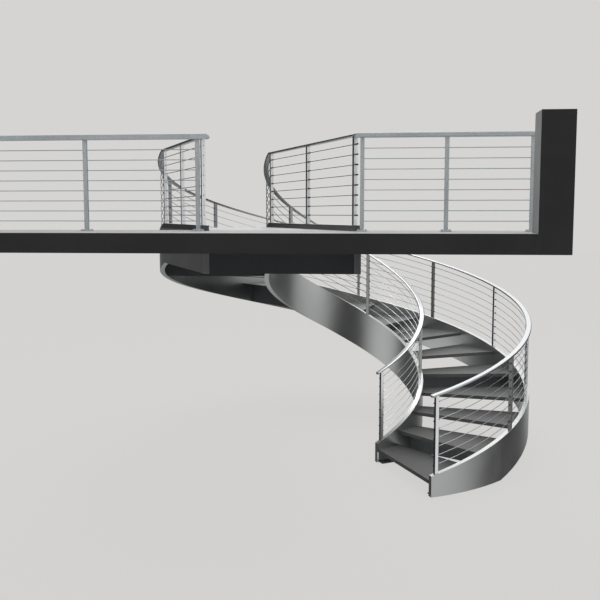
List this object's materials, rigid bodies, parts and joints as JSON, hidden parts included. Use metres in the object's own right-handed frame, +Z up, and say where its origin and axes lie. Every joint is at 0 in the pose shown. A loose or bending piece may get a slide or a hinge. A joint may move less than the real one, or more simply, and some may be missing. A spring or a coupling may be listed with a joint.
{
  "type": "curved staircase with landing, guard and floor edge",
  "caption": "Curved open-riser steel staircase with rod guards, turning down from a landing at the edge of an upper floor.",
  "frame": {"origin": "middle of the outer stringer's foot, on the ground", "axes": "+Z up, +Y from the upper floor's edge out over the stairwell, +X along the floor's edge towards the end wall"},
  "size_m": [5.9156, 5.9438, 3.818],
  "materials": {
    "floor": "matte dark concrete",
    "dark_steel": "dark paint",
    "stringer_steel": "satin grey paint",
    "tread_steel": "dark grey, fine texture",
    "rail_steel": "satin grey",
    "galvanised": "galvanised, finely spangled"
  },
  "bodies": {
    "root": {"floor_slab": "floor", "end_wall": "floor", "front_beam": "dark_steel", "landing_deck": "tread_steel", "cross_beams": "dark_steel", "outer_stringer": "stringer_steel", "inner_stringer": "stringer_steel", "tread_01": "tread_steel", "tread_02": "tread_steel", "tread_03": "tread_steel", "tread_04": "tread_steel", "tread_05": "tread_steel", "tread_06": "tread_steel", "tread_07": "tread_steel", "tread_08": "tread_steel", "tread_09": "tread_steel", "tread_10": "tread_steel", "tread_11": "tread_steel", "tread_12": "tread_steel", "tread_13": "tread_steel", "tread_14": "tread_steel", "tread_15": "tread_steel", "outer_posts": "rail_steel", "inner_posts": "rail_steel", "outer_rail": "rail_steel", "inner_rail": "rail_steel", "landing_rods_left": "rail_steel", "landing_rods_right": "rail_steel", "outer_rods_1": "rail_steel", "outer_rods_2": "rail_steel", "outer_rods_3": "rail_steel", "outer_rods_4": "rail_steel", "outer_rods_5": "rail_steel", "outer_rods_6": "rail_steel", "outer_rods_7": "rail_steel", "outer_rods_8": "rail_steel", "outer_rods_9": "rail_steel", "inner_rods_1": "rail_steel", "inner_rods_2": "rail_steel", "inner_rods_3": "rail_steel", "inner_rods_4": "rail_steel", "left_guard_posts": "galvanised", "left_guard_rail": "galvanised", "left_guard_rods": "galvanised", "right_guard_posts": "galvanised", "right_guard_rail": "galvanised", "right_guard_rods": "galvanised"}
  },
  "joints": []
}
